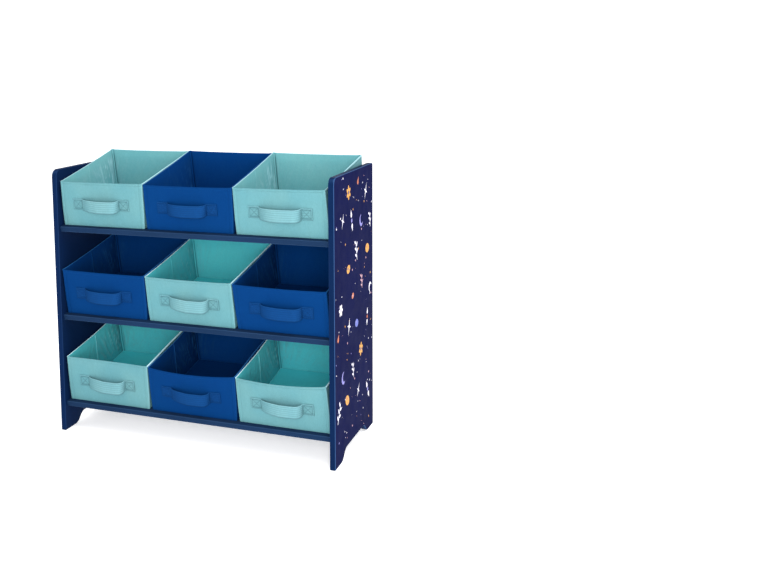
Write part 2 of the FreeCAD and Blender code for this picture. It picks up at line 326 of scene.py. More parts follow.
def painted_board(name, colour, edge, shine, outer_arris_highlight=None):
    """Satin paint on fibreboard: faint clouding, orange peel, uneven gloss, and eased edges made paler as a
    painted highlight, brighter still on the side panels' outer edges when an outer edge colour is given.
    """
    material, tree, shader, coords = start_material(name, Specular_IOR_Level=shine, Specular_Tint=PAINT_TINT)
    clouds = noise_node(tree, coords, 7.0, 4.0)
    scuffs = noise_node(tree, coords, 38.0, 6.0, (1, 1, 0.4))
    paint = between(tree, clouds, shade(colour, 0.9), shade(colour, 1.1))
    paint = mixed(tree, "MULTIPLY", 1.0, paint, between(tree, scuffs, (0.93, 0.93, 0.94, 1), WHITE))
    # Painted highlight along the eased edges, brighter on the side panels' outer edges.
    edge_highlight = shade(edge, 1)
    if outer_arris_highlight:
        edge_highlight = mixed(tree, "MIX", outer_arris(tree, coords), edge_highlight, shade(outer_arris_highlight, 1))
    tree.links.new(mixed(tree, "MIX", eased_edge(tree), paint, edge_highlight), shader.inputs["Base Color"])
    gloss = noise_node(tree, coords, 35.0, 5.0)
    tree.links.new(between(tree, gloss, 0.34, 0.46), shader.inputs["Roughness"])
    peel = noise_node(tree, coords, 420.0, 2.0)
    bump_chain(tree, shader, [(scuffs, 0.03, 0.0003), (peel, 0.10, 0.0002)])
    return material


def bin_fabric(name, colour, pale, nap=1.0):
    """Matt non-woven fabric: upright fibres, pressed dimples and a soft sheen, with pale marks that are
    painted highlight with some wear, and painted shade in joins, creases and hollows.
    """
    material, tree, shader, coords = start_material(
        name, Roughness=0.9, Specular_IOR_Level=0.02,
        Sheen_Weight=0.06, Sheen_Roughness=0.4, Sheen_Tint=shade(pale, 1),
    )
    fibres = noise_node(tree, coords, 900.0, 5.0, (1, 1, 0.2))
    streaks = noise_node(tree, coords, 150.0, 4.0, (1, 1, 0.22))
    patches = noise_node(tree, coords, 14.0, 3.0)
    cloth = between(tree, fibres, shade(colour, 0.94), shade(colour, 1.06))
    for texture, low, high in (
        (streaks, (0.955, 0.96, 0.965, 1), WHITE),
        (patches, (0.87, 0.93, 0.96, 1), (1.05, 0.99, 0.97, 1)),
    ):
        cloth = mixed(tree, "MULTIPLY", 1.0, cloth, between(tree, texture, low, high))
    # Painted highlight, with some wear, mixes the fabric towards its pale colour; painted shade multiplies it
    # by the shade tone.
    for share, blend, tone in (("worn", "MIX", shade(pale, 1)), ("sunk", "MULTIPLY", GLOOM)):
        amount = tree.nodes.new("ShaderNodeAttribute")
        amount.attribute_name = share
        cloth = mixed(tree, blend, amount.outputs["Fac"], cloth, tone)
    tree.links.new(cloth, shader.inputs["Base Color"])
    dimples = add(tree, "ShaderNodeTexVoronoi", Scale=620.0, Randomness=0.35)
    tree.links.new(coords, dimples.inputs["Vector"])
    bump_chain(tree, shader, [
        (patches, 0.15 * nap, 0.0010),
        (streaks, 0.18 * nap, 0.0004),
        (fibres, 0.25 * nap, 0.0002),
        (dimples.outputs["Distance"], 0.30 * nap, 0.00025),
    ])
    return material


def fabric_pair(kind, aqua, aqua_pale, blue, nap=1.0):
    """One kind of fabric in both colours; the key says whether it is aqua."""
    return {
        True: bin_fabric(f"aqua_{kind}", aqua, aqua_pale, nap),
        False: bin_fabric(f"blue_{kind}", blue, BLUE_PALE, nap),
    }


def printed_ink(name, colour):
    """Flat printed ink with a slightly uneven film."""
    material, tree, shader, coords = start_material(name, Specular_IOR_Level=0.1)
    film = noise_node(tree, coords, 120.0, 4.0)
    tree.links.new(between(tree, film, shade(colour, 0.88), shade(colour, 1.04)), shader.inputs["Base Color"])
    tree.links.new(between(tree, film, 0.42, 0.52), shader.inputs["Roughness"])
    return material


def brushed_zinc(name):
    material, tree, shader, coords = start_material(name, Metallic=1.0)
    lines = noise_node(tree, coords, 700.0, 4.0, (1, 0.08, 1))
    metal = between(tree, lines, (0.42, 0.43, 0.45, 1), (0.62, 0.63, 0.65, 1))
    tree.links.new(metal, shader.inputs["Base Color"])
    tree.links.new(between(tree, lines, 0.32, 0.5), shader.inputs["Roughness"])
    bump_chain(tree, shader, [(lines, 0.2, 0.0001)])
    return material


def plain_grain(name, dark, light, stretch, scale, roughness):
    """Wood grain or board fibre, stretched along one direction."""
    material, tree, shader, coords = start_material(name, Roughness=roughness)
    grain = noise_node(tree, coords, scale, 6.0, stretch)
    tree.links.new(between(tree, grain, dark, light), shader.inputs["Base Color"])
    bump_chain(tree, shader, [(grain, 0.2, 0.0003)])
    return material


AQUA = (0.091, 0.224, 0.245)
AQUA_PALE = (0.56, 0.84, 0.92)
# Painted light: the linings are lit copies of the outer fabric and brighter than it; the aqua lining of the
# two lower tiers is brighter and more saturated again, and the aqua base pads there brighter still.
AQUA_LINING_LIT_BELOW = (0.075, 0.47, 0.51)
AQUA_LINING_PALE = (0.26, 0.64, 0.67)
AQUA_TOP_LINING_LIT = (0.125, 0.33, 0.35)
AQUA_PAD_LIT_BELOW = (0.085, 0.62, 0.66)
AQUA_WEBBING = (0.098, 0.232, 0.254)
BLUE = (0.0011, 0.0262, 0.111)
BLUE_PALE = (0.02, 0.115, 0.31)
BLUE_LINING_LIT = (0.001, 0.031, 0.138)
BLUE_WEBBING = (0.003, 0.0325, 0.124)
# Painted light: shelves, rails and panels share one navy paint, given here as a lighter lit copy on the
# shelves and rails and a darker shaded copy on the panels.
NAVY_BOARD_LIT = painted_board("navy_board_lit", (0.0075, 0.0205, 0.053), (0.017, 0.04, 0.09), 0.01)
NAVY_PANEL_SHADED = painted_board(
    "navy_panel_shaded", (0.0028, 0.0113, 0.043), (0.006, 0.019, 0.061), 0.01, outer_arris_highlight=(0.03, 0.07, 0.17)
)
PRINTED = painted_board("navy_printed_face", (0.0035, 0.0055, 0.042), (0.03, 0.04, 0.13), 0.002)
CLOTH = fabric_pair("fabric", AQUA, AQUA_PALE, BLUE)
# Lit copies of the fabric for linings and base pads: painted light.
LIT_LINING = fabric_pair("lining", AQUA_LINING_LIT_BELOW, AQUA_LINING_PALE, BLUE_LINING_LIT)
LIT_TOP_LINING = {True: bin_fabric("aqua_top_lining_lit", AQUA_TOP_LINING_LIT, AQUA_PALE), False: LIT_LINING[False]}
LIT_PAD = {True: bin_fabric("aqua_pad_lit", AQUA_PAD_LIT_BELOW, AQUA_LINING_PALE), False: LIT_LINING[False]}
WEBBING = fabric_pair("webbing", AQUA_WEBBING, AQUA_PALE, BLUE_WEBBING)
# The aqua thread is darker than its fabric as painted shade of its stitch grooves; the blue thread is lighter
# than its webbing.
THREAD = fabric_pair("thread", shade(AQUA, 0.7), AQUA_PALE, shade(BLUE_WEBBING, 1.5), 0.4)
ZINC = brushed_zinc("zinc")
BEECH = plain_grain("beech", (0.42, 0.28, 0.15, 1), (0.6, 0.44, 0.27, 1), (0.06, 1, 1), 320.0, 0.6)
CARD = plain_grain("grey_card", (0.3, 0.26, 0.21, 1), (0.4, 0.35, 0.29, 1), (1, 1, 1), 480.0, 0.9)
INKS = {
    name: printed_ink(f"ink_{name}", colour)
    for name, colour in (
        ("white", (0.72, 0.70, 0.80)),
        ("lavender", (0.20, 0.19, 0.50)),
        ("mustard", (0.56, 0.27, 0.045)),
        ("coral", (0.46, 0.13, 0.06)),
        ("pink", (0.52, 0.30, 0.36)),
        ("periwinkle", (0.09, 0.12, 0.42)),
        ("plum", (0.055, 0.035, 0.13)),
    )
}


# --- Boards and fittings ---
DRESS = {"side_panel": NAVY_PANEL_SHADED, "shelf": NAVY_BOARD_LIT, "rear_rail": NAVY_BOARD_LIT, "cam": ZINC, "dowels": BEECH}


def dress_boards():
    """Gives each node its material by how its name starts; what isn't in the list is card."""
    for name, node in frame["nodes"].items():
        material = next((DRESS[start] for start in DRESS if name.startswith(start)), CARD)
        for slot in node.material_slots:
            slot.material = material


def cam_face(name, middle, place):
    """The face of a cam under its shelf: a low rounded disc with a cross recess; middle is its centre."""
    arm, half, face, recess = 3.1, 0.7, -0.6, -0.12
    quarter = [(half, -half), (arm, -half), (arm, 0), (arm, half)]
    cross = []
    for turn in (3, 2, 1, 0):
        c, s = (1, 0, -1, 0)[turn], (0, 1, 0, -1)[turn]
        cross += [(x * c + y * s, y * c - x * s) for x, y in reversed(quarter)]
    angles = [math.atan2(y, x) for x, y in cross]
    rings = []
    for radius, z in ((CAM_RADIUS, 0.0), (CAM_RADIUS, face + 0.2), (CAM_RADIUS - 0.2, face)):
        rings.append([(radius * math.cos(a), radius * math.sin(a), z) for a in angles])
    rings += [[(x, y, z) for x, y in cross] for z in (face, recess)]
    count = len(cross)
    points = [place @ (middle + Vector(p)) for ring in rings for p in ring]
    faces = lattice(len(rings), count, True) + [tuple(range((len(rings) - 1) * count, len(rings) * count))]
    piece = new_mesh(name, points, faces, [ZINC], smooth=False)
    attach(piece, "case")


def cam_faces():
    for tier in range(1, TIERS + 1):
        place = bin_matrix(f"bin_{tier}_2")
        for side, name in ((-1, "left"), (1, "right")):
            depth = CAM_INSET - BIN_SETBACK - BASE_DEPTH / 2
            middle = Vector((side * CAM_AXIS, depth, -SHELF_THICKNESS - BIN_SEAT))
            cam_face(f"cam_face_{tier}_{name}", middle, place)


# --- Shape of a bin's walls ---
# A bin has its own frame: x to the right, y to the rear along the slope and z square to the shelf, with
# the origin at the middle of its underside. Sides are numbered from the front round to the right, and a
# place along a side runs from -1 to 1 in the same turn.
SIDE_NORMALS = [(0, -1), (1, 0), (0, 1), (-1, 0)]


def bin_matrix(tag):
    """From a bin's own millimetres to the frame's metres."""
    joint = next(j for j in frame["joints"] if j["child"] == tag)
    forward = Vector(joint["axis"]).normalized()
    across = Vector((1, 0, 0))
    up = forward.cross(across)
    low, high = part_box(f"{tag}_base_board")
    middle = (low + high) / 2 - up * (BOARD_TOP - BOARD_THICKNESS / 2) * MM
    turn = Matrix((across, -forward, up)).transposed().to_4x4()
    return Matrix.Translation(middle) @ turn @ Matrix.Scale(MM, 4)


def settled_place(tag, settled):
    """Takes a point in a bin's own millimetres to its place in the frame. Towards the front rim the side
    walls lean outwards or inwards, while the base and the middle of the front stay in their place."""
    matrix = bin_matrix(tag)
    left, right = settled.racked

    def place(point):
        share = point.x / (BASE_WIDTH / 2)
        lean = right * max(share, 0.0) ** 5 - left * max(-share, 0.0) ** 5
        front = 0.5 - point.y / BASE_DEPTH
        return matrix @ Vector((point.x + lean * front * point.z / BIN_HEIGHT, point.y, point.z))
    return place


def half_sizes(inset, height):
    rise = height / BIN_HEIGHT
    return (
        BASE_WIDTH / 2 + SPREAD * min(1.0, 0.35 + 2 * rise) + SIDE_TAPER * rise - inset,
        BASE_DEPTH / 2 + END_TAPER * rise - inset,
    )


def half_length(side):
    return (BASE_WIDTH if side % 2 == 0 else BASE_DEPTH) / 2


def side_frame(side, half_x, half_y):
    """A side's normal and tangent, half its length and its distance from the bin's middle."""
    normal = Vector(SIDE_NORMALS[side])
    half, reach = (half_x, half_y) if side % 2 == 0 else (half_y, half_x)
    return normal, Vector((-normal.y, normal.x)), half, reach


def side_stations(length, fold):
    """Places along a wall from -1 to 1, closer together at the seams and at the fold."""
    half = length / 2
    count = round(length / GRID)
    marks = [-half + i * length / count for i in range(count + 1)]
    extra = [side * (half - SEAM_INSET + step) for side in (-1, 1) for step in BY_A_SEAM]
    extra += [side * (half - step) for side in (-1, 1) for step in BY_A_CORNER]
    if fold:
        extra += BY_A_FOLD
    marks = [m for m in marks if min(abs(m - e) for e in extra) > 0.9 or abs(m) == half] + extra
    return sorted(m / half for m in marks)


def stations():
    """(side, place along it, turn in degrees round the corner after it) for one loop round the bin."""
    loop = []
    for side in range(4):
        length = 2 * half_length(side) - 2 * OUTER_CORNER
        loop += [(side, along, 0) for along in side_stations(length, side % 2 == 1)]
        loop += [(side, 1, turn) for turn in CORNER_TURNS]
    return loop


def wall_profile():
    """(layer, inset, height) from the underside up the outside, over the rim and down the lining."""
    rise = [1.4] + [3 + i * ROW for i in range(int((BIN_HEIGHT - HEM_DROP - 6) / ROW) + 1)]
    hem = [BIN_HEIGHT - HEM_DROP + step for step in BY_A_SEAM + (2.0,)]
    profile = [("outer", 1.2, 0.0), ("outer", 0.35, 0.35)]
    profile += [("outer", 0, h) for h in rise + hem]
    radius = RIM_WALL / 2
    rim_start = BIN_HEIGHT - radius
    for turn in RIM_TURNS:
        angle = math.radians(turn)
        profile.append(("rim", radius * (1 - math.cos(angle)), rim_start + radius * math.sin(angle)))
    for h in [rim_start] + list(reversed(rise[1:] + hem)):
        profile.append(("lining", RIM_WALL + (WALL - RIM_WALL) * smooth_step(0, 16, rim_start - h), h))
    profile += [("lining", WALL + 0.2, 1.6), ("lining", WALL + 1.2, 1.0)]
    return profile


class Walls:
    """Where a settled bin's walls stand, out from its flat cards and down from its straight rims, and where
    their fabric gets painted highlight and painted shade."""

    def __init__(self, settled, seed, rim_highlight):
        self.settled = settled
        self.seed = seed
        self.rim_highlight = rim_highlight

    def leaning(self, side, along, rise):
        """What both fabrics and the card between them share."""
        settled, open_part = self.settled, 1 - along * along
        if side == 0:
            return settled.bow * open_part * (0.06 + 0.94 * rise ** 1.4)
        if side == 2:
            return (0.5 * wave(along * 2, rise * 2, self.seed) - 0.8 * rise) * open_part
        return -settled.kink * (1 - abs(along)) * (0.1 + 0.9 * rise)

    def outer(self, side, along, rise):
        """Relief of the outer fabric."""
        seed, half = self.seed, half_length(side)
        x, z = along * half, rise * BIN_HEIGHT
        relief = 0.55 * wave(x / 38, z / 30, seed + side) + 0.12 * wave(x / 11, z / 24, seed + side + 9)
        relief *= smooth_step(0, 9, half - abs(x))
        relief -= 0.50 * bump_at(abs(x), half - SEAM_INSET, 0.8)
        relief += 0.22 * bump_at(abs(x), half - SEAM_INSET / 2 + 0.3, 1.5)
        relief -= 0.34 * bump_at(z, BIN_HEIGHT - HEM_DROP, 0.8)
        relief += 0.20 * bump_at(z, BIN_HEIGHT - HEM_DROP / 2 - 0.8, 1.5)
        if side % 2 == 1:
            relief -= 0.9 * bump_at(x, 0, 1.3)
        if side == 0:
            for patch in (-1, 1):
                away_x = (x - patch * (STRAP_HALF_SPAN + STRAP_PATCH / 2)) / 18
                away_z = (z - STRAP_HEIGHT) / 20
                near = math.exp(-(away_x ** 2 + away_z ** 2))
                relief += near * (0.5 * wave(x / 6, z / 14, seed + 31) - 0.2)
        return relief

    def creases(self, side, along, rise):
        """Sharp upright creases in the lining that fan out from its rear corners, 0 to 1."""
        seed, half = self.seed, half_length(side)
        x, z = along * half, rise * BIN_HEIGHT
        corner = half - abs(x)
        fan = corner * 1.15 / (0.55 + 0.6 * rise) + 5 * wave(z / 50, x / 80, seed + side + 3)
        lines = 0.95 * ridge(fan / 12, z / 120, seed + side + 5, 4.0)
        lines += 0.7 * ridge(fan / 6, z / 70, seed + side + 7, 3.4)
        rear = -along if side == 3 else along
        where = (0.3 + 0.7 * smooth_step(-0.7, 0.4, rear)) * (0.5 + 0.5 * bump_at(corner, 0, 75))
        if side % 2 == 0:
            where = 0.22 + 0.3 * bump_at(corner, 0, 30)
        low = smooth_step(5, 22, z) * smooth_step(BIN_HEIGHT - 3, BIN_HEIGHT - 26, z)
        return min(lines, 1.0) * where * low * smooth_step(0, 6, corner)

    def lining(self, side, along, rise):
        """Relief of the lining, which stands into the bin."""
        seed, creasing, half = self.seed, self.settled.creasing, half_length(side)
        x, z = along * half, rise * BIN_HEIGHT
        corner = half - abs(x)
        edge = smooth_step(0, 5, corner) * smooth_step(0, 8, BIN_HEIGHT - z) * smooth_step(2, 10, z)
        relief = -2.3 * creasing * self.creases(side, along, rise)
        relief -= 0.55 * creasing * (0.5 + wave(x / 30, z / 46, seed + side + 17)) * edge
        if side % 2 == 1:
            fold = x + 2.0 * wave(z / 30, 0.5, seed)
            relief -= (0.5 + 0.9 * creasing) * bump_at(fold, 0, 1.5) * edge
        return relief + 1.6 * bump_at(corner, 1.6, 1.1) * smooth_step(0, 6, BIN_HEIGHT - z)

    def rim_drop(self, side, along):
        half = half_length(side)
        x = along * half
        sag = self.settled.dip * (1 - along * along) - 0.6 * bump_at(half - abs(x), 0, 4)
        start, end = self.settled.lifts[side], self.settled.lifts[(side + 1) % 4]
        lift = start + (end - start) * (along + 1) / 2
        return sag + 0.3 * wave(x / 26, side * 3.7, self.seed + 2) * (1 - along ** 4) - lift

    def worn(self, station, layer, height):
        """How pale the fabric is at its rims, corners, folds and creases: painted highlight, with some wear
        at the folds and creases.
        """
        side, along, turn = station
        creasing = self.settled.creasing
        x, rise = along * half_length(side), height / BIN_HEIGHT
        if layer == "rim":
            # Painted highlight on the side and rear rims, set by tier.
            return 0.0 if side == 0 else self.rim_highlight
        if layer == "outer":
            return 0.07 if turn else 0.0
        if turn:
            return 0.0
        pale = 0.9 * creasing * self.creases(side, along, rise) ** 1.5
        if side % 2 == 1:
            fold = x + 2.0 * wave(height / 30, 0.5, self.seed)
            pale = max(pale, creasing ** 2 * 0.8 * bump_at(fold, 0, 1.0) * smooth_step(4, 20, height))
        return min(pale, 1.0)

    def sunk(self, station, layer, height):
        """How much painted shade the fabric gets: on the front rim, at the outer front seams, at the open
        joins of the lining and beside its creases.
        """
        side, along, turn = station
        if turn:
            return 0.0
        if layer == "rim":
            return 0.12 if side == 0 else 0.0
        corner = half_length(side) * (1 - abs(along))
        if layer == "outer":
            return 0.10 * bump_at(corner, SEAM_INSET, 0.9) if side == 0 else 0.0
        depth = smooth_step(0, 14, BIN_HEIGHT - height)
        fold = self.creases(side, along, height / BIN_HEIGHT)
        flank = (4 * fold * (1 - fold)) ** 2
        gloom = 0.5 * bump_at(corner, 0, 32) if side % 2 == 1 else 0.2 * bump_at(corner, 3, 7)
        return depth * (0.9 * bump_at(corner, 1.6, 1.2) + self.settled.creasing * (0.4 * flank + gloom))


def wall_point(station, layer, inset, height, walls):
    side, along, turn = station
    normal, tangent, half, reach = side_frame(side, *half_sizes(inset, height))
    corner = max(OUTER_CORNER - inset, INNER_CORNER)
    rise = height / BIN_HEIGHT
    angle = math.radians(turn)
    out = normal * math.cos(angle) + tangent * math.sin(angle)
    stand = walls.leaning(side, along, rise)
    if turn == 0 and layer == "outer":
        stand += walls.outer(side, along, rise)
    if turn == 0 and layer == "lining":
        stand += walls.lining(side, along, rise)
    flat = tangent * along * (half - corner) + normal * (reach - corner + stand) + out * corner
    lift = -walls.rim_drop(side, along) * rise ** 3
    return Vector((flat.x, flat.y, height + lift))


def bottom_loops(loop, height, shares):
    """Loops that shrink towards the middle of the bottom."""
    centre = sum(loop, Vector()) / len(loop)
    loops = []
    for share in shares:
        ring = [centre + (p - centre) * share for p in loop]
        loops.append([Vector((p.x, p.y, height)) for p in ring])
    return loops


def bin_cover(tag, materials, walls, place):
    """Outer fabric, rim and lining in one closed skin."""
    loop, profile = stations(), wall_profile()
    rows = [[wall_point(s, layer, inset, h, walls) for s in loop] for layer, inset, h in profile]
    pale = [[walls.worn(s, layer, h) for s in loop] for layer, _, h in profile]
    dark = [[walls.sunk(s, layer, h) for s in loop] for layer, _, h in profile]
    shares = (0.9, 0.7, 0.45, 0.2)
    first_lining = len(shares) + [layer for layer, _, _ in profile].index("lining")
    under, over = bottom_loops(rows[0], 0.0, shares), bottom_loops(rows[-1], LINING_BOTTOM, shares)
    rows = under[::-1] + rows + over
    plain = [[0.0] * len(loop)] * len(shares)
    worn = [value for row in plain + pale + plain for value in row]
    sunk = [min(value, 1.0) for row in plain + dark + plain for value in row]
    faces = capped(rows)
    lined = [1 if face[0] >= first_lining * len(loop) else 0 for face in faces]
    points = [place(p) for row in rows for p in row]
    return new_mesh(f"{tag}_fabric_body", points, faces, materials, lined, worn=worn, sunk=sunk)


def pad_marks(half, middle_fold):
    """Places across the base pad, closer together at its rounded edges and at its fold."""
    edge = (0.0, 0.25, 0.8, 1.7, 3.5)
    count = round(2 * (half - edge[-1]) / PAD_GRID)
    marks = [-half + e for e in edge] + [half - e for e in edge]
    inner = half - edge[-1]
    marks += [-inner + i * 2 * inner / count for i in range(1, count)]
    if middle_fold:
        marks = [m for m in marks if abs(m) > 3.5] + [-3.0, -1.4, 0.0, 1.4, 3.0]
    return sorted(marks)


def base_pad(tag, material, settled, seed, place):
    """The board on the bin's bottom, wrapped in the same fabric and creased across its middle. Its colour is
    the lining's lit copy, and a brighter one still in the lower tiers' aqua bins: painted light.
    """
    half_x, half_y = half_sizes(WALL + 0.9, BOARD_TOP)
    half_y -= 1.0
    across, deep = pad_marks(half_x, False), pad_marks(half_y, True)
    rows, worn = [], []
    for y in deep:
        row = []
        for x in across:
            rim = min(half_x - abs(x), half_y - abs(y))
            drop = PAD_RADIUS - math.sqrt(max(PAD_RADIUS ** 2 - max(PAD_RADIUS - rim, 0.0) ** 2, 0.0))
            ripple = 0.40 * wave(x / 34, y / 44, seed) + 0.14 * wave(x / 12, y / 15, seed + 4)
            fold = 1.2 * settled.creasing * bump_at(y, 0, 9) - 0.8 * bump_at(y, 0, 1.5)
            inside = smooth_step(0, 12, rim)
            row.append(Vector((x, y, BOARD_TOP - drop + (0.35 + ripple + fold) * inside)))
            # Painted highlight on the pad's rounded edge and along its fold, with some wear at the fold.
            worn.append(0.35 * bump_at(rim, 1.0, 1.0) + 0.3 * settled.creasing * bump_at(abs(y), 1.6, 1.0))
        rows.append(row)
    columns, lines = len(across), len(deep)
    points = [p for row in rows for p in row]
    faces = lattice(lines, columns, False)
    border = list(range(columns)) + [r * columns + columns - 1 for r in range(1, lines)]
    border += [(lines - 1) * columns + c for c in range(columns - 2, -1, -1)]
    border += [r * columns for r in range(lines - 2, 0, -1)]
    last = border
    for height, inset in ((1.5, 0.2), (1.1, 0.9)):
        first = len(points)
        for i in border:
            p = points[i]
            points.append(Vector((p.x * (1 - inset / half_x), p.y * (1 - inset / half_y), height)))
            worn.append(0.0)
        ring = list(range(first, len(points)))
        for k in range(len(ring)):
            m = (k + 1) % len(ring)
            faces.append((last[m], last[k], ring[k], ring[m]))
        last = ring
    faces.append(tuple(reversed(last)))
    return new_mesh(f"{tag}_base_pad", [place(p) for p in points], faces, [material], worn=worn)


# --- Strap handle ---
def front_point(x, z, stand, walls):
    """A point over the outer front wall, at a distance from its fabric."""
    half_x, half_y = half_sizes(0, z)
    along = max(-1.0, min(1.0, x / half_x))
    return Vector((x, -half_y - walls.leaning(0, along, z / BIN_HEIGHT) - stand, z))


def strap_path(settled):
    """(x, distance from the wall, share of the loop) from one end of the strap to the other."""
    reach, steps = STRAP_HALF_SPAN + STRAP_PATCH, PATCH_STEPS
    path = [(-reach + STRAP_PATCH * i / steps, 0.0, 0.0) for i in range(steps)]
    for i in range(LOOP_STEPS + 1):
        turn = math.pi * (1 - i / LOOP_STEPS)
        c, s = math.cos(turn), math.sin(turn)
        if c < 0:
            x, slack = -STRAP_HALF_SPAN * (-c) ** settled.slant, s ** 1.1
        else:
            x, slack = STRAP_HALF_SPAN * c ** (0.52 - 0.13 * settled.slant), 1 - (1 - s) ** 3
        path.append((x, STRAP_BULGE * s ** 0.9, slack))
    path += [(STRAP_HALF_SPAN + STRAP_PATCH * (i + 1) / steps, 0.0, 0.0) for i in range(steps)]
    return path


def strap_section():
    """(height over the strap's middle, share of its thickness) round the folded strap."""
    half = STRAP_WIDTH / 2
    heights = [-half + 0.9 + i * (STRAP_WIDTH - 1.8) / SECTION_STEPS for i in range(SECTION_STEPS + 1)]
    front = []
    for z in heights:
        fold = 0.22 * bump_at(abs(z), half - 1.4, 1.0) - 0.25 * bump_at(abs(z), half - QUILT_INSET, 0.7)
        front.append((z, 1.0 + fold))
    back = [(z, 0.0) for z in reversed(heights[::2])]
    side = half - 0.1
    return front + [(side, 0.75), (side, 0.25)] + back + [(-side, 0.25), (-side, 0.75)]


def quilting(x, z):
    """How far a sewn patch is pulled in along its stitched box and cross, 0 to 1."""
    u = abs(x) - STRAP_HALF_SPAN - STRAP_PATCH / 2
    half_u, half_z = STRAP_PATCH / 2 - QUILT_INSET, STRAP_WIDTH / 2 - QUILT_INSET
    if abs(u) > STRAP_PATCH / 2:
        return 0.0
    frame_line = max(
        bump_at(abs(u), half_u, 0.9) if abs(z) < half_z + 1 else 0.0,
        bump_at(abs(z), half_z, 0.9) if abs(u) < half_u + 1 else 0.0,
    )
    inside = abs(u) < half_u and abs(z) < half_z
    cross = bump_at(abs(u / half_u) * half_z, abs(z), 1.0) if inside else 0.0
    return max(frame_line, cross)


def strap_point(path, i, z, share, walls, seed):
    x, out, slack = path[i]
    before, after = path[max(i - 1, 0)], path[min(i + 1, len(path) - 1)]
    way = Vector((after[0] - before[0], after[1] - before[1])).normalized()
    normal = Vector((-way.y, way.x))
    crumple = 0.5 * slack * wave(x / 9, z / 16, seed) + 0.2 * wave(x / 5, z / 9, seed + 3)
    pulled = 0.75 * quilting(x, z) if share > 0.5 else 0.0
    stand = out + 0.15 + normal.y * (STRAP_THICKNESS * share + crumple * (0.4 + 0.6 * slack)) - pulled
    along = x + normal.x * STRAP_THICKNESS * share
    lift = z / (STRAP_WIDTH / 2)
    stand -= STRAP_CUP * slack * lift ** 2 * min(slack * 2, 1) + STRAP_TILT * slack * lift
    height = STRAP_HEIGHT + z - walls.settled.droop * slack
    return front_point(along, height, max(stand, 0.1 + 0.45 * STRAP_THICKNESS * share), walls)


def strap_handle(tag, aqua, walls, seed, place):
    path, section = strap_path(walls.settled), strap_section()
    rows, worn, sunk = [], [], []
    for i in reversed(range(len(path))):
        rows.append([strap_point(path, i, z, share, walls, seed) for z, share in section])
        for z, share in section:
            # Painted highlight on the strap's edges and the front of its loop; painted shade in the webbing's
            # rib grooves, under its lower edge, on its left leg, in its quilted patches and all over its
            # back.
            edge = 0.06 * smooth_step(STRAP_WIDTH / 2 - 1.6, STRAP_WIDTH / 2 - 0.2, abs(z))
            worn.append(edge + 0.05 * path[i][2] * (share > 0.5))
            rib_groove_shade = 0.32 * (0.5 - 0.5 * math.cos(2 * math.pi * z / RIB_PITCH))
            under = (0.55 + 0.3 * path[i][2]) if z < 1.0 - STRAP_WIDTH / 2 else 0.0
            left_leg_shade = 0.45 * bump_at(path[i][0], -0.8 * STRAP_HALF_SPAN, 9) * path[i][2]
            sunk.append(max(rib_groove_shade, under, left_leg_shade, 0.6 * quilting(path[i][0], z)) if share != 0.0 else 0.6)
    points = [place(p) for row in rows for p in row]
    return new_mesh(f"{tag}_strap", points, capped(rows), [WEBBING[aqua]], worn=worn, sunk=sunk)


# --- Stitching ---
def stitch(start, end, out):
    """One thread between two points, as a small rounded bar that dips into the fabric at its ends."""
    way = end - start
    across = way.cross(out).normalized() * STITCH_WIDTH / 2
    out = out.normalized()
    points, rings = [], ((0.0, -0.18, 0.45), (0.25, 0.16, 1.0), (0.75, 0.16, 1.0), (1.0, -0.18, 0.45))
    for share, lift, width in rings:
        middle = start + way * share
        for side, rise in ((-1, 0), (-0.5, 0.28), (0.5, 0.28), (1, 0)):
            points.append(middle + across * side * width + out * (lift + rise * width))
    return points, lattice(4, 4, False) + [(0, 1, 2, 3), (15, 14, 13, 12)]


def seam(point_at, length, out):
    """Stitches along a line; point_at gives its points from a distance in millimetres."""
    count = max(1, int(length / STITCH_PITCH))
    gap = length / count
    made = []
    for i in range(count):
        start = i * gap + (gap - STITCH_LENGTH) / 2
        made.append(stitch(point_at(start), point_at(start + STITCH_LENGTH), out))
    return made


def stitching(tag, aqua, walls, place):
    made = []
    forward = Vector((0, -1, 0))
    top = STRAP_THICKNESS - 0.35

    def on_patch(start, end):
        a, b = Vector(start), Vector(end)
        length = (b - a).length

        def at(distance):
            p = a + (b - a) * distance / length
            return front_point(p.x, p.y, top, walls)
        return seam(at, length, forward)

    inner = STRAP_HALF_SPAN + QUILT_INSET
    outer = STRAP_HALF_SPAN + STRAP_PATCH - QUILT_INSET
    low = STRAP_HEIGHT - STRAP_WIDTH / 2 + QUILT_INSET
    high = STRAP_HEIGHT + STRAP_WIDTH / 2 - QUILT_INSET
    for side in (-1, 1):
        corners = [(side * inner, low), (side * outer, low), (side * outer, high), (side * inner, high)]
        for start, end in ((0, 1), (1, 2), (2, 3), (3, 0), (0, 2), (1, 3)):
            made += on_patch(corners[start], corners[end])

    for side in (-1, 1):
        def up_seam(distance):
            z = 3 + distance
            half_x, _ = half_sizes(0, z)
            return front_point(side * (half_x - SEAM_INSET), z, -0.4, walls)
        made += seam(up_seam, BIN_HEIGHT - HEM_DROP - 6, forward)
    for side in range(4):
        normal, across, half, reach = side_frame(side, *half_sizes(0, BIN_HEIGHT - HEM_DROP))

        def along_hem(distance):
            x = -half + 4 + distance
            along = x / half
            rise = 1 - HEM_DROP / BIN_HEIGHT
            flat = across * x + normal * (reach + walls.leaning(side, along, rise) - 0.3)
            return Vector((flat.x, flat.y, BIN_HEIGHT - HEM_DROP - walls.rim_drop(side, along) * rise ** 3))
        made += seam(along_hem, 2 * half - 8, Vector((normal.x, normal.y, 0)))

    points, faces = [], []
    for some_points, some_faces in made:
        first = len(points)
        points += [place(p) for p in some_points]
        faces += [tuple(first + i for i in face) for face in some_faces]
    return new_mesh(f"{tag}_stitching", points, faces, [THREAD[aqua]])


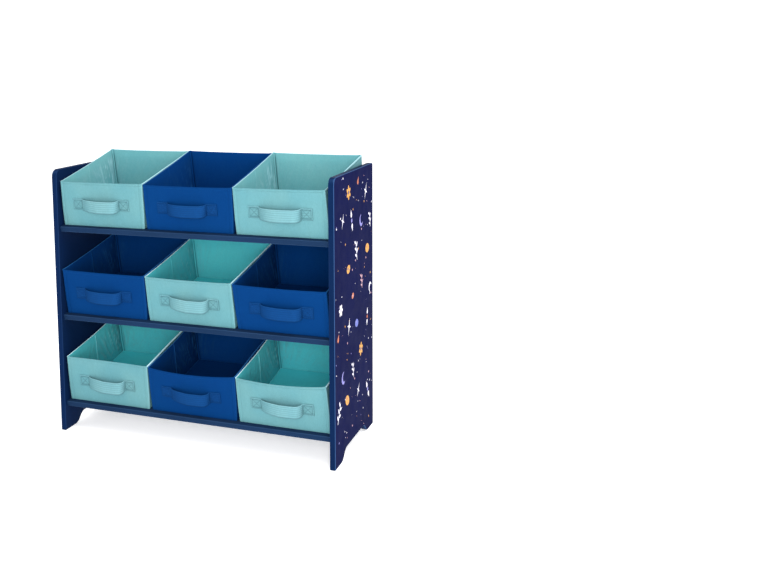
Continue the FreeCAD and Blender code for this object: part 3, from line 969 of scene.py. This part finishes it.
def dress_bin(tier, position):
    tag = f"bin_{tier}_{position + 1}"
    aqua = AQUA_FIRST[tier] == (position % 2 == 0)
    seed = tier * 10.37 + position * 3.71
    settled = SETTLED[tier][position]
    walls = Walls(settled, seed, RIM_HIGHLIGHT[tier])
    place = settled_place(tag, settled)
    # Painted light: the top tier's linings and pads take one lit colour, the lower tiers' brighter ones.
    lining, padding = (LIT_TOP_LINING, LIT_TOP_LINING) if tier == TIERS else (LIT_LINING, LIT_PAD)
    body = bin_cover(tag, [CLOTH[aqua], lining[aqua]], walls, place)
    pad = base_pad(tag, padding[aqua], settled, seed, place)
    strap = strap_handle(tag, aqua, walls, seed, place)
    threads = stitching(tag, aqua, walls, place)
    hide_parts(f"{tag}_cover", f"{tag}_wall_cards")
    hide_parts(f"{tag}_base_board")
    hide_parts(f"{tag}_handle")
    kinds = {body: "fabric", pad: "fabric", strap: "strap", threads: "strap"}
    for piece, kind in kinds.items():
        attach(piece, tag)


# --- Printed faces ---
# Each motif is a list of flat outlines about its own middle, in millimetres, with a colour for each.
def arc_points(x, y, radius_x, radius_y, start, end, count, turn=0.0):
    """Points of an elliptical arc between two angles in degrees, both included."""
    c, s = math.cos(turn), math.sin(turn)
    points = []
    for i in range(count):
        angle = math.radians(start + (end - start) * i / (count - 1))
        px, py = radius_x * math.cos(angle), radius_y * math.sin(angle)
        points.append((x + px * c - py * s, y + px * s + py * c))
    return points


def blob(x, y, radius_x, radius_y, count=14, turn=0.0):
    return arc_points(x, y, radius_x, radius_y, 0, 360, count + 1, turn)[:-1]


def sparkle(colour, size):
    points = []
    for i in range(8):
        radius = size * (0.26 if i % 2 else (1.5 if i in (2, 6) else 1.0))
        angle = math.pi * i / 4
        points.append((radius * math.cos(angle), radius * math.sin(angle)))
    return [(points, colour)]


def daisy(petals, heart, size):
    shapes = []
    for i in range(6):
        angle = math.pi * i / 3
        x, y = 0.58 * size * math.cos(angle), 0.58 * size * math.sin(angle)
        shapes.append((blob(x, y, 0.42 * size, 0.26 * size, 12, angle), petals))
    return shapes + [(blob(0, 0, 0.28 * size, 0.28 * size), heart)]


def crescent(colour, size):
    outer = arc_points(0, 0, size, size, 60, 300, 13)
    inner = arc_points(0.42 * size, 0, 0.8 * size, 0.8 * size, 276, 84, 11)
    return [(outer + inner, colour)]


def sprig(colour, size):
    stem = [(-0.06 * size, -size), (0.06 * size, -size), (0.04 * size, size), (-0.04 * size, size)]
    shapes = [(stem, colour)]
    for i, side in enumerate((-1, 1, -1, 1, -1)):
        y = -0.45 * size + 0.34 * size * i
        shapes.append((blob(side * 0.26 * size, y, 0.28 * size, 0.13 * size, 12, side * 0.7), colour))
    return shapes


def pebble(colour, mark, size):
    spots = [(blob(-0.3 * size, 0.2 * size, 0.36 * size, 0.17 * size), mark)]
    spots.append((blob(0.34 * size, -0.26 * size, 0.2 * size, 0.12 * size), mark))
    return [(blob(0, 0, size, 0.72 * size, 20), colour)] + spots


def drop(colour, size):
    return [([(0, 1.6 * size)] + arc_points(0, 0, 0.62 * size, 0.62 * size, 155, 385, 14), colour)]


def bunting(colour, mark, size):
    """Two drops and a bead in a row."""
    tear = drop(colour, 0.6 * size)[0][0]
    shapes = [([(x, y + 0.9 * size) for x, y in tear], colour)]
    shapes.append(([(x, -y - 0.9 * size) for x, y in reversed(tear)], colour))
    return shapes + [(blob(0, 0, 0.34 * size, 0.34 * size), mark)]


def motifs():
    return [
        sprig("white", 21), pebble("mustard", "coral", 14), sparkle("white", 11),
        bunting("white", "lavender", 13), crescent("lavender", 13), sprig("white", 17),
        daisy("mustard", "plum", 15), drop("coral", 8), sparkle("white", 13),
        pebble("periwinkle", "lavender", 12), bunting("white", "coral", 11), daisy("white", "lavender", 13),
        pebble("coral", "pink", 8), sprig("pink", 16), crescent("white", 11), pebble("mustard", "plum", 12),
    ]


def foot_curve(start, rising):
    """Points of the two equal arcs between a foot and the top of the arch, from start to the rear."""
    radius = (FOOT_CURVE_LENGTH ** 2 + ARCH_HEIGHT ** 2) / (4 * ARCH_HEIGHT)
    turn = math.asin(FOOT_CURVE_LENGTH / (2 * radius))
    half, steps = [], 6
    for i in range(steps + 1):
        angle = turn * i / steps
        half.append((radius * math.sin(angle), radius * (1 - math.cos(angle))))
    points = half + [(FOOT_CURVE_LENGTH - x, ARCH_HEIGHT - z) for x, z in reversed(half[:-1])]
    return [(start + x, z if rising else ARCH_HEIGHT - z) for x, z in points]


def face_outline(depth, height):
    """A side panel's outline as (from the front, up), taken in by the film's inset."""
    outline = [(0, 0)] + foot_curve(FOOT_LENGTH, True)
    outline += foot_curve(depth - FOOT_LENGTH - FOOT_CURVE_LENGTH, False) + [(depth, 0)]
    rear, front = TOP_REAR_RADIUS, TOP_FRONT_RADIUS
    outline += arc_points(depth - rear, height - rear, rear, rear, 0, 90, 6)
    outline += arc_points(front, height - front, front, front, 90, 180, 9)
    taken_in = []
    for i, point in enumerate(outline):
        here, before, after = Vector(point), Vector(outline[i - 1]), Vector(outline[(i + 1) % len(outline)])
        first, second = (here - before).normalized(), (after - here).normalized()
        normals = Vector((-first.y, first.x)), Vector((-second.y, second.x))
        inward = normals[0] + normals[1]
        taken_in.append(here + inward * FILM_INSET * 2 / inward.length_squared)
    return taken_in


def printed_side(side):
    """The printed film on one panel's outer face; side is 1 on the right and -1 on the left."""
    name = "right" if side > 0 else "left"
    low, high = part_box(f"side_panel_{name}")
    chooser = random.Random(40 + side)
    width, height = (high.y - low.y) / MM, (high.z - low.z) / MM
    points, faces, colours = [], [], []
    names = list(INKS)

    def stamp(outline, colour, y, z, turn, lift):
        c, s = math.cos(turn), math.sin(turn)
        first = len(points)
        x = (high.x if side > 0 else low.x) + side * lift * MM
        for u, v in outline:
            points.append(Vector((x, low.y + (y + u * c - v * s) * MM, low.z + (z + u * s + v * c) * MM)))
        order = range(first, len(points))
        faces.append(tuple(order) if side > 0 else tuple(reversed(order)))
        colours.append(colour)

    def inside(y, z, reach):
        edge = PRINT_MARGIN + reach
        over_arch = z > ARCH_CLEAR + reach or y < FOOT_LENGTH - reach or y > width - FOOT_LENGTH + reach
        return edge < y < width - edge and edge < z < height - edge and over_arch

    stamp(face_outline(width, height), len(names), 0, 0, 0, FILM_LIFT)
    made, used = motifs(), 0
    for row in range(PRINT_ROWS):
        for column in range(PRINT_COLUMNS):
            shift = 0.5 + STAGGER * (-1) ** row + chooser.uniform(-JITTER_ACROSS, JITTER_ACROSS)
            y = (column + shift) * width / PRINT_COLUMNS
            z = (row + 0.5 + chooser.uniform(-JITTER_UP, JITTER_UP)) * height / PRINT_ROWS
            turn = chooser.uniform(-TURN_LIMIT, TURN_LIMIT)
            if inside(y, z, MOTIF_REACH):
                for layer, (outline, colour) in enumerate(made[used % len(made)]):
                    stamp(outline, names.index(colour), y, z, turn, PRINT_LIFT + LAYER_LIFT * layer)
                used += 1
    for _ in range(PRINT_SPECKS):
        y, z = chooser.uniform(0, width), chooser.uniform(0, height)
        size = chooser.choice(SPECK_SIZES)
        colour = chooser.choice(SPECK_COLOURS)
        if inside(y, z, 0):
            stamp(blob(0, 0, size, size, 9), names.index(colour), y, z, 0, SPECK_LIFT)
    piece = new_mesh(f"print_{name}", points, faces, list(INKS.values()) + [PRINTED], colours, smooth=False)
    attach(piece, "case")


# --- Stage, light and camera ---
WORLD_LIGHT = 1.1
FLOOR_REACH = 40.0
FLOOR_GLOW = 0.45
AIM = Vector((0, 0, 0.28))
LAMPS = (  # name, place, size and power
    ("front", (0.85, -2.4, 0.8), 1.2, 62.0),
    ("top", (1.1, -0.5, 2.4), 1.5, 40.0),
)


def studio():
    world = bpy.data.worlds.new("studio")
    bpy.context.scene.world = world
    world.use_nodes = True
    background = world.node_tree.nodes["Background"]
    background.inputs["Color"].default_value = WHITE
    background.inputs["Strength"].default_value = WORLD_LIGHT
    floor_material = start_material(
        "pale_floor", Base_Color=(0.93, 0.93, 0.93, 1), Roughness=0.8, Specular_IOR_Level=0.1,
        Emission_Color=WHITE, Emission_Strength=FLOOR_GLOW,
    )[0]
    corners = [(x * FLOOR_REACH, y * FLOOR_REACH, 0) for x, y in ((-1, -1), (1, -1), (1, 1), (-1, 1))]
    new_mesh("floor", corners, [(0, 1, 2, 3)], [floor_material])
    for name, place, size, power in LAMPS:
        lamp = bpy.data.lights.new(name, "AREA")
        lamp.size = size
        lamp.energy = power
        obj = new_object(name, lamp)
        obj.location = place
        obj.rotation_euler = (AIM - Vector(place)).to_track_quat("-Z", "Y").to_euler()


# The camera that fits the photograph's edges: focal length and principal point in its pixels.
PHOTO_WIDTH, PHOTO_HEIGHT = 772, 579
FOCAL_PIXELS = 1021.5
PRINCIPAL_X, PRINCIPAL_Y = 200.0, 180.0
CAMERA_PLACE = Vector((0.8944, -2.0249, 0.8330))
CAMERA_YAW, CAMERA_PITCH, CAMERA_ROLL = 24.45, 7.01, 1.29


def camera():
    yaw, pitch, roll = (math.radians(a) for a in (CAMERA_YAW, CAMERA_PITCH, CAMERA_ROLL))
    ahead = Vector((-math.sin(yaw) * math.cos(pitch), math.cos(yaw) * math.cos(pitch), -math.sin(pitch)))
    right = Vector((math.cos(yaw), math.sin(yaw), 0))
    down = ahead.cross(right)
    across = right * math.cos(roll) + down * math.sin(roll)
    below = down * math.cos(roll) - right * math.sin(roll)
    data = bpy.data.cameras.new("camera")
    data.sensor_width = 36.0
    data.lens = FOCAL_PIXELS * data.sensor_width / PHOTO_WIDTH
    data.shift_x = (PHOTO_WIDTH / 2 - PRINCIPAL_X) / PHOTO_WIDTH
    data.shift_y = (PRINCIPAL_Y - PHOTO_HEIGHT / 2) / PHOTO_WIDTH
    obj = new_object("camera", data)
    turn = Matrix((across, -below, -ahead)).transposed().to_4x4()
    obj.matrix_world = Matrix.Translation(CAMERA_PLACE) @ turn
    bpy.context.scene.camera = obj


camera()
studio()
dress_boards()
cam_faces()
for tier in range(1, TIERS + 1):
    for position in range(PLACES):
        dress_bin(tier, position)
for side in (-1, 1):
    printed_side(side)
bpy.context.scene.view_settings.view_transform = "Standard"
